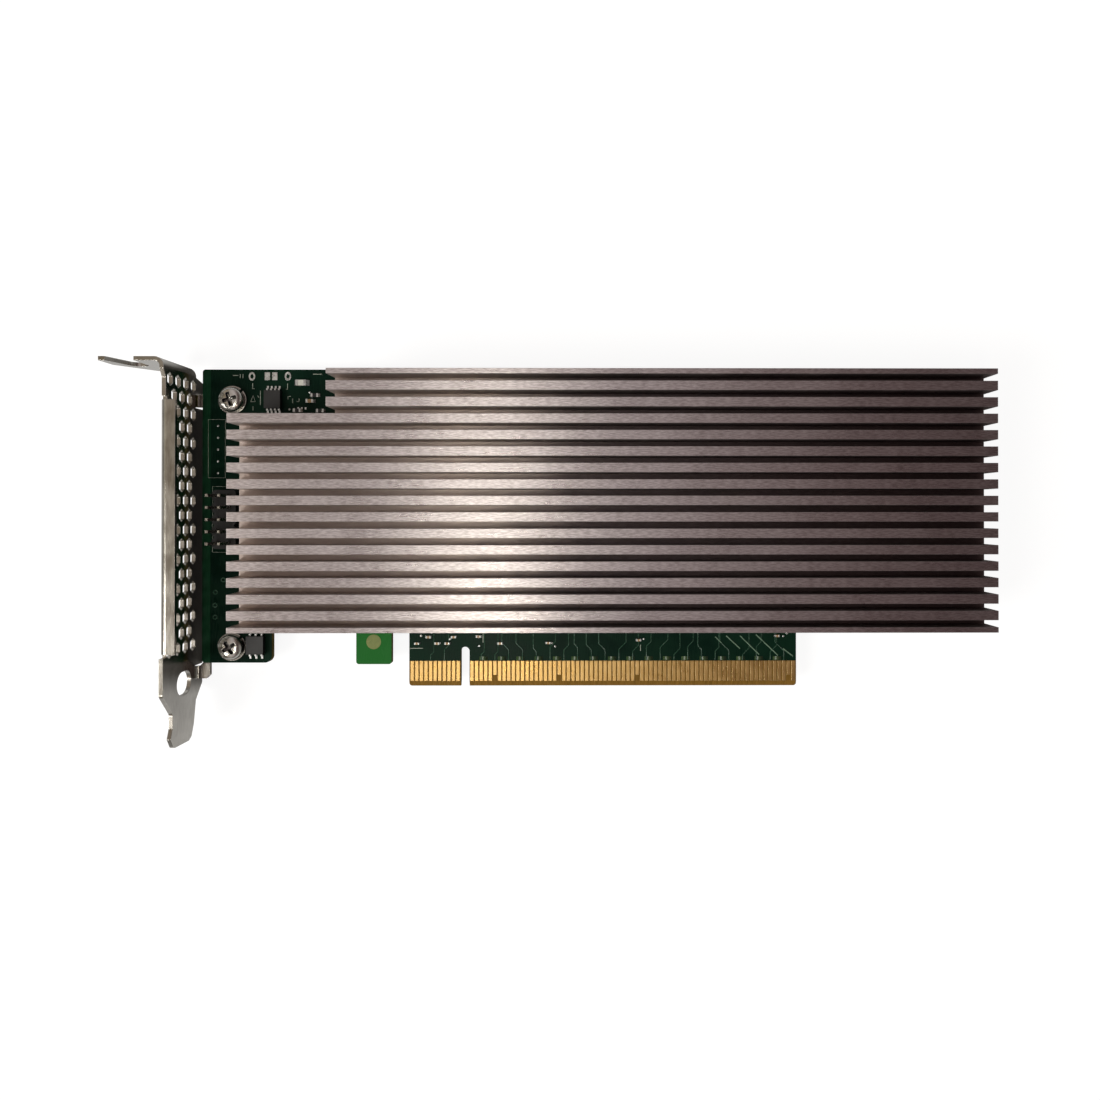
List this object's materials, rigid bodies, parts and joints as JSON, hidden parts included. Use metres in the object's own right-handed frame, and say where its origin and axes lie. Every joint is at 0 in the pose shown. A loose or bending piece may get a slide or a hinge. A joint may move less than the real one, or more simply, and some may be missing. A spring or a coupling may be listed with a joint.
{
  "type": "passive accelerator card",
  "caption": "Low-profile expansion card with a full-length passive finned heatsink, folded vented bracket and gold card edge.",
  "frame": {"origin": "middle of the key notch, on the bottom line of the card edge and half-way through the board", "axes": "+X along the card away from the bracket, +Y from the card edge to the top of the board, +Z out of the component side"},
  "size_m": [0.1828, 0.0807, 0.0185],
  "materials": {
    "laminate": "dark green solder mask, satin",
    "gold": "plated gold contacts",
    "aluminium": "bare extruded aluminium, lengthwise grain",
    "steel": "zinc-plated sheet steel",
    "screw_steel": "bright plated steel",
    "fibre": "red-brown fibre washer",
    "package": "black moulded package",
    "substrate": "green package substrate",
    "lid": "plated metal lid",
    "pad": "grey thermal pad",
    "pins": "gold-flashed square pins",
    "tin": "tinned leads",
    "ferrite": "pressed ferrite",
    "ceramic": "tan ceramic with tinned ends",
    "resistor": "black film on ceramic with tinned ends",
    "white_ceramic": "white ceramic with tinned ends"
  },
  "bodies": {
    "root": {"circuit_board": "laminate", "front_contacts": "gold", "rear_contacts": "gold", "heatsink": "aluminium", "bracket": "steel", "bracket_screws": "screw_steel", "bracket_lock_washers": "screw_steel", "heatsink_screws": "screw_steel", "insulating_washers": "fibre", "processor_substrate": "substrate", "processor_lid": "lid", "thermal_pad": "pad", "memory_packages": "package", "pin_header_housing": "package", "header_pins": "pins", "power_inductors": "ferrite", "power_stages": "package", "bulk_capacitors": "package", "power_controller": "package", "small_chips": "package", "small_chips_leads": "tin", "chip_resistors": "resistor", "ceramic_capacitors": "ceramic", "coupling_capacitors": "ceramic", "board_fuse": "white_ceramic", "oscillator": "lid", "rear_capacitors": "ceramic"}
  },
  "joints": []
}
